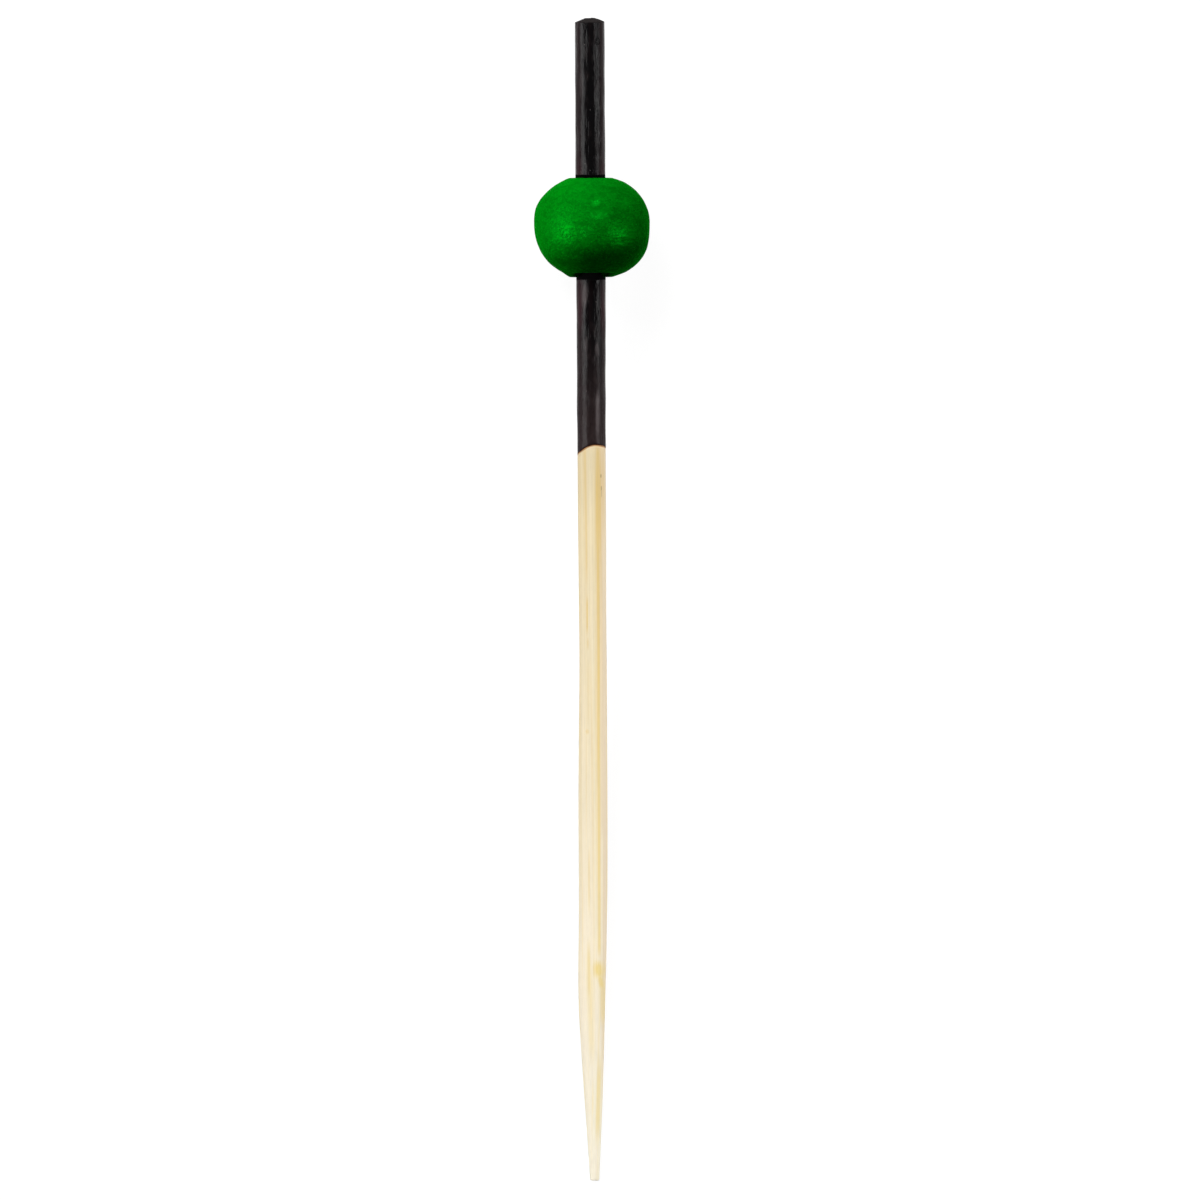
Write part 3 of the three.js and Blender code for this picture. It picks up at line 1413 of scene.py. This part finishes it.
@dataclass(frozen=True)
class Ball(OnPick):
    """The turned wooden ball, its lacquer and the glue in its bore.

    Attributes:
        sides: points round the ball.
        fullness: power of its outline; 2 is a plain ellipse.
        crown_steps: steps in each half of its outline.
        lip_steps: steps round the lip of each mouth.
        lump: how far its lumps stand out.
        ripple: how far the finer unevenness of the lacquer stands out.
        lathe_mark: depth of the marks that turning left.
        offset: how far the ball's middle lies to +x of the bore.
        lean: how far the lower half leans to +x beyond that, by the depth under the widest ring.
        shrink: how much smaller it was turned than its nominal radius.
        calm: width of the ring round each mouth in which lumps and lean fade out.
        break_out: how deep the drill broke out the lower mouth's edge, on the side away from the floor.
        break_width: how far from the mouth's flat the break reaches.
        break_turn: where round the mouth it starts to fade and where it ends, in degrees from its middle.
        break_depth: how far under the widest ring it starts and where it is complete.
        bore_step: widest step between rings in the bore.
        clearance: gap kept between the lacquer and the wood.
        climb: how far the glue climbs on the stick at both ends.
        glue_sides: points round the glue.
        glue_step: widest step between its rings.
        glue_uneven: how far its ends are uneven.
        glue_end: length of an uneven end.
        swells: the places where its outline departs most from an even one.
    """

    sides: int = 176
    fullness: float = 2.2
    crown_steps: int = 84
    lip_steps: int = 7
    lump: float = 0.045
    ripple: float = 0.018
    lathe_mark: float = 0.006
    offset: float = 0.12
    lean: Ramp = Ramp(0.16, 0.3, 4.4)
    shrink: float = 0.06
    calm: float = 1.6
    break_out: float = 0.55
    break_width: float = 1.3
    break_turn: tuple[float, float] = (31.0, 50.0)
    break_depth: tuple[float, float] = (3.0, 4.6)
    bore_step: float = 0.5
    clearance: float = 0.01
    climb: float = 0.08
    glue_sides: int = 96
    glue_step: float = 0.3
    glue_uneven: float = 0.05
    glue_end: float = 0.5
    swells: tuple[Swell, ...] = (
        Swell(236.0, -0.03, 10.0),
        Swell(184.0, -0.03, 9.0),
        Swell(162.0, 0.08, 9.0),
        Swell(38.0, 0.04, 16.0),
        Swell(330.0, 0.07, 13.0),
    )

    def _crown(self, radius: float, reach: float) -> Profile:
        """One half of the outline, from the widest ring to the flat round a mouth.

        Args:
            radius: radius of the widest ring.
            reach: from the widest ring to the flat, negative downwards.

        Returns:
            The profile, from the widest ring outwards.
        """
        power = 2.0 / self.fullness
        last = math.acos((self.sizes.face / radius) ** (1.0 / power))
        full = reach / math.sin(last) ** power
        profile = []
        for step in range(self.crown_steps + 1):
            turn = last * step / self.crown_steps
            out = radius * math.cos(turn) ** power
            profile.append((out, self.sizes.ball_height + full * math.sin(turn) ** power))
        return profile

    def _lip(self, face_height: float, inwards: float) -> Profile:
        """The rounded lip of a mouth, from the bore to the flat.

        Args:
            face_height: height of the flat.
            inwards: 1 where the bore lies above the flat, -1 where it lies below.

        Returns:
            The profile, from the bore outwards.
        """
        sizes = self.sizes
        profile = []
        for step in range(self.lip_steps + 1):
            swing = math.radians(90.0 * step / self.lip_steps)
            out = sizes.bore + (sizes.mouth - sizes.bore) * (1.0 - math.cos(swing))
            profile.append((out, face_height + inwards * sizes.mouth_depth * (1.0 - math.sin(swing))))
        return profile

    def _outline(self, depth: float) -> Profile:
        """The ball's outline from its lower mouth round to its upper one.

        Args:
            depth: how deep under the outside the outline lies.

        Returns:
            The profile, upwards.
        """
        sizes = self.sizes
        rise = sizes.rise - depth
        drop = sizes.drop - depth
        lower = self._crown(sizes.ball - depth, -drop)[::-1]
        upper = self._crown(sizes.ball - depth, rise)[1:]
        low_lip = self._lip(sizes.ball_height - drop, 1.0)
        high_lip = self._lip(sizes.ball_height + rise, -1.0)[::-1]
        return low_lip + lower + upper + high_lip

    def _shape(self, out: float, height: float, turn: float) -> Vector:
        """Places a point of the ball, with its lean and its lumps.

        Args:
            out: nominal distance from the axis.
            height: nominal height.
            turn: turn round the axis.

        Returns:
            The point in the pick's space.
        """
        sizes = self.sizes
        up = height - sizes.ball_height
        point = around(out, up, turn)
        free = ease(out, sizes.mouth, sizes.mouth + self.calm)
        lumps = grain(0.42 * point.x + 3.0, 0.42 * up, 0.42 * point.z) * self.lump - self.shrink
        lumps += grain(1.5 * point.x, 1.5 * up + 8.0, 1.5 * point.z) * self.ripple
        lumps += grain(0.25 * point.x, 5.5 * up, 0.25 * point.z) * self.lathe_mark
        lumps += sum(swell.at(point) for swell in self.swells)
        outward = point.normalized() * lumps * free
        leaning = (self.offset + self.lean.at(-up)) * free
        return point + outward + Vector((leaning, sizes.ball_height + self._broken(out, up, turn), 0.0))

    def _broken(self, out: float, up: float, turn: float) -> float:
        """How far a point of the lower mouth's edge has moved along the stick where the drill broke it out.

        Args:
            out: distance from the axis.
            up: height above the widest ring.
            turn: turn round the axis.

        Returns:
            The move, towards the ball's middle.
        """
        near = 1.0 - ease(out, self.sizes.face, self.sizes.face + self.break_width)
        beside = math.degrees(abs(turn - math.pi / 2))
        shown = near * (1.0 - ease(beside, *self.break_turn))
        return shown * self.break_out * ease(-up, *self.break_depth)

    def _clear_shape(self, out: float, height: float, turn: float) -> Vector:
        """Places a point of the ball or its lacquer, which stays clear of the stick.

        Args:
            out: nominal distance from the axis.
            height: nominal height.
            turn: turn round the axis.

        Returns:
            The point in the pick's space.
        """
        point = self._shape(out, height, turn)
        if out < self.sizes.mouth:
            return around(out, point.y, turn)
        return point

    def _turned(self, name: str, profile: Profile) -> bpy.types.Object:
        """Turns a closed profile and gives it the ball's shape."""
        return turned(name, self.space, profile, self._clear_shape, self.sides, Closing.ON_ITSELF)

    def lacquer(self) -> bpy.types.Object:
        """Makes the lacquer.

        Returns:
            The dressed piece.
        """
        piece = self._turned("lacquer_skin", self._outline(0.0) + self._outline(self.sizes.lacquer)[::-1])
        finish = LacquerFinish(self.space, self.sizes)
        return settle(piece, "green_lacquer", finish.material())

    def core(self) -> bpy.types.Object:
        """Makes the turned wooden ball.

        Returns:
            The dressed piece.
        """
        outline = self._outline(self.sizes.lacquer + self.clearance)
        heights = spread(outline[0][1], outline[-1][1], self.bore_step)
        bore = [(self.sizes.bore, height) for height in heights]
        piece = self._turned("turned_ball", outline + bore[-2:0:-1])
        finish = TurnedWoodFinish(self.space, self.sizes)
        return settle(piece, "wooden_ball", finish.material())

    def _glue_shape(self, out: float, height: float, turn: float) -> Vector:
        """Places a point of the glue, whose ends are uneven.

        Args:
            out: nominal distance from the axis.
            height: nominal height.
            turn: turn round the axis.

        Returns:
            The point in the pick's space.
        """
        ends = (self.sizes.glue_low, self.sizes.glue_high)
        near_end = sum(hump(height, end, self.glue_end) for end in ends)
        uneven = self.glue_uneven * near_end * grain_round(turn, 3.0, 0.3 * height)
        uneven += self._broken(out, height - self.sizes.ball_height, turn)
        return around(out, height + uneven, turn)

    def glue(self, inner: float) -> bpy.types.Object:
        """Makes the glue film, which climbs a little on the stick at both ends.

        Args:
            inner: radius of the coat inside it.

        Returns:
            The dressed piece.
        """
        low = self.sizes.glue_low
        high = self.sizes.glue_high
        outer = self.sizes.bore
        step = self.glue_step
        outside = [(outer, height) for height in spread(low, high, step)]
        inside = [(inner, height) for height in spread(low - self.climb, high + self.climb, step)]
        middle = (outer + inner) / 2
        lip = self.climb * 0.3
        profile = outside + [(middle, high + lip)] + inside[::-1] + [(middle, low - lip)]
        shape = self._glue_shape
        piece = turned("glue_film", self.space, profile, shape, self.glue_sides, Closing.ON_ITSELF)
        finish = GlueFinish(self.space, self.sizes)
        return settle(piece, "ball_glue", finish.material())


class Reach(Enum):
    """What a lamp lights."""

    COLOUR = "colour alone, so that it leaves no highlight"
    GLOSS = "gloss alone"


@dataclass(frozen=True)
class Lamp:
    """A soft box that faces the middle of the pick.

    Attributes:
        name: its name.
        toward: direction from the pick to the lamp.
        distance: in metres.
        width: of the box, across the pick, in metres.
        length: of the box, along the pick, in metres.
        share: how bright it leaves a white sheet that faces it; 1 is white.
        reach: what it lights.
    """

    name: str
    toward: tuple[float, float, float]
    distance: float
    width: float
    length: float
    share: float
    reach: Reach

    def light(self) -> bpy.types.Object:
        """Hangs the lamp.

        Returns:
            The lamp.
        """
        away = Vector(self.toward).normalized()
        side = Vector((0.0, 1.0, 0.0)).cross(away).normalized()
        turn = Matrix((side, away.cross(side), away)).transposed()
        data = bpy.data.lights.new(self.name, "AREA")
        data.shape = "RECTANGLE"
        data.size = self.width
        data.size_y = self.length
        data.energy = self.share * (math.pi * self.distance) ** 2
        lamp = linked(self.name, data)
        lamp.matrix_world = Matrix.Translation(away * self.distance) @ turn.to_4x4()
        lamp.visible_camera = False
        lamp.visible_glossy = self.reach is not Reach.COLOUR
        lamp.visible_diffuse = self.reach is not Reach.GLOSS
        return lamp


@dataclass(frozen=True)
class Studio:
    """Floor, lamps, surroundings and camera.

    Attributes:
        floor_side: side of the square floor, in metres.
        floor_colour: the floor as the lamps light it.
        floor_glow: what is added to it where it is seen, so that it shows white.
        world_light: strength of the dim light from all round.
        horizon: height of the white band above the floor's edge, as the sine of an angle.
        camera_height: in metres.
        view_side: side of the square that the image shows, in millimetres.
        aim_x: x of the image's middle, in millimetres.
        aim_y: y of the image's middle, in millimetres.
        roll: how far the pick leans in the image, in degrees.
        sensor: width of the camera's sensor, in millimetres.
        lamps: the soft boxes.
    """

    floor_side: float = 8.0
    floor_colour: float = 0.16
    floor_glow: float = 0.90
    world_light: float = 0.05
    horizon: float = 0.10
    camera_height: float = 1.0
    view_side: float = 124.2
    aim_x: float = 0.77
    aim_y: float = 0.10
    roll: float = -0.28
    sensor: float = 36.0
    lamps: tuple[Lamp, ...] = (
        Lamp("upper_left_box", (-0.45, 0.68, 0.58), 0.90, 0.60, 0.55, 0.90, Reach.COLOUR),
        Lamp("upper_right_box", (0.64, 0.70, 0.32), 0.90, 0.60, 0.50, 1.10, Reach.COLOUR),
        Lamp("left_fill", (-0.77, -0.12, 0.63), 0.60, 0.30, 0.34, 0.29, Reach.COLOUR),
        Lamp("point_fill", (0.22, -0.80, 0.56), 0.17, 0.09, 0.09, 0.122, Reach.COLOUR),
        Lamp("left_panel", (-0.85, -0.12, 0.53), 0.60, 0.36, 0.34, 0.95, Reach.GLOSS),
        Lamp("right_panel", (0.85, -0.10, 0.53), 0.60, 0.19, 0.34, 0.50, Reach.GLOSS),
    )

    def _floor_material(self) -> bpy.types.Material:
        """Builds the pale floor, which the lamps light and which shows white to the camera.

        Returns:
            The finished material.
        """
        bench = Bench(bpy.data.materials.new("pale_floor"))
        path = bench.node("ShaderNodeLightPath", output="Is Camera Ray")
        seen = path.most(path.beside("Is Glossy Ray")).most(path.beside("Is Transmission Ray"))
        mottle = bench.clouds(bench.node("ShaderNodeTexCoord", output="Object"), 1.0, 1.0)
        dark = (self.floor_colour * 0.98,) * 3
        pale = (self.floor_colour * 1.02,) * 3
        return bench.finish({
            "Base Color": bench.mix(mottle, dark, pale),
            "Roughness": 0.9,
            "Specular IOR Level": 0.0,
            "Emission Color": bench.mix(seen * self.floor_glow, (0.0, 0.0, 0.0), (1.0, 1.0, 1.0)),
            "Emission Strength": 1.0,
        })

    def floor(self, height: float) -> bpy.types.Object:
        """Lays the floor.

        Args:
            height: its height in metres.

        Returns:
            The floor.
        """
        half = self.floor_side / 2
        mesh = bpy.data.meshes.new("floor")
        corners = [(x * half, y * half, height) for x, y in ((-1, -1), (1, -1), (1, 1), (-1, 1))]
        mesh.from_pydata(corners, [], [(0, 1, 2, 3)])
        mesh.materials.append(self._floor_material())
        floor = linked("floor", mesh)
        floor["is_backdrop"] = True
        return floor

    def surroundings(self) -> bpy.types.World:
        """Makes the world: white low down, where it carries on from the floor, and a dim grey above.

        Returns:
            The world.
        """
        bench = Bench(bpy.data.worlds.new("studio"))
        _, _, up = bench.parts(bench.node("ShaderNodeTexCoord", output="Generated"))
        pale = bench.below(up, self.horizon, self.horizon * 2.5)
        strength = self.world_light + pale * (1.0 - self.world_light)
        inputs = {"Color": (1.0, 1.0, 1.0), "Strength": strength}
        background = bench.node("ShaderNodeBackground", inputs=inputs)
        bench.node("ShaderNodeOutputWorld", inputs={"Surface": background})
        bpy.context.scene.world = bench.owner
        return bench.owner

    def camera(self) -> bpy.types.Object:
        """Hangs the camera straight above the pick.

        Returns:
            The camera.
        """
        data = bpy.data.cameras.new("camera")
        data.sensor_width = self.sensor
        data.lens = self.sensor * self.camera_height / (self.view_side * MM)
        data.clip_start = 0.01
        data.clip_end = 20.0
        camera = linked("camera", data)
        place = Matrix.Translation((self.aim_x * MM, self.aim_y * MM, self.camera_height))
        camera.matrix_world = place @ Matrix.Rotation(math.radians(self.roll), 4, "Z")
        bpy.context.scene.camera = camera
        return camera

    def build(self) -> None:
        """Sets up the whole studio round the finished pick."""
        lowest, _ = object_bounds()
        self.floor(lowest.z)
        self.surroundings()
        self.camera()
        for lamp in self.lamps:
            lamp.light()
        bpy.context.scene.view_settings.view_transform = "Standard"


def report(piece: bpy.types.Object) -> None:
    """Logs a finished piece and its size."""
    x, y, z = piece.dimensions / MM
    log.info("%s: %.2f x %.2f x %.2f mm, %d faces", piece.name, x, y, z, len(piece.data.polygons))


def main() -> None:
    """Builds the pick and the studio."""
    logging.basicConfig(level=logging.INFO, format="%(name)s: %(message)s")
    mounts = {mount["name"]: mount for mount in frame["record"]["mounts"]}
    space = PickSpace.of_stick(frame["nodes"]["bamboo_skewer"], mounts["cut_end"])
    sizes = PickSizes.of_nodes(space, frame["nodes"])
    log.info("tilt %.3f degrees, %s", math.degrees(space.tilt()), sizes)
    stick = Stick(space, sizes)
    ball = Ball(space, sizes)
    report(stick.bamboo())
    report(stick.coat())
    report(ball.core())
    report(ball.lacquer())
    report(ball.glue(sizes.radius + stick.coat_proud))
    Studio().build()


if __name__ == "__main__":
    main()
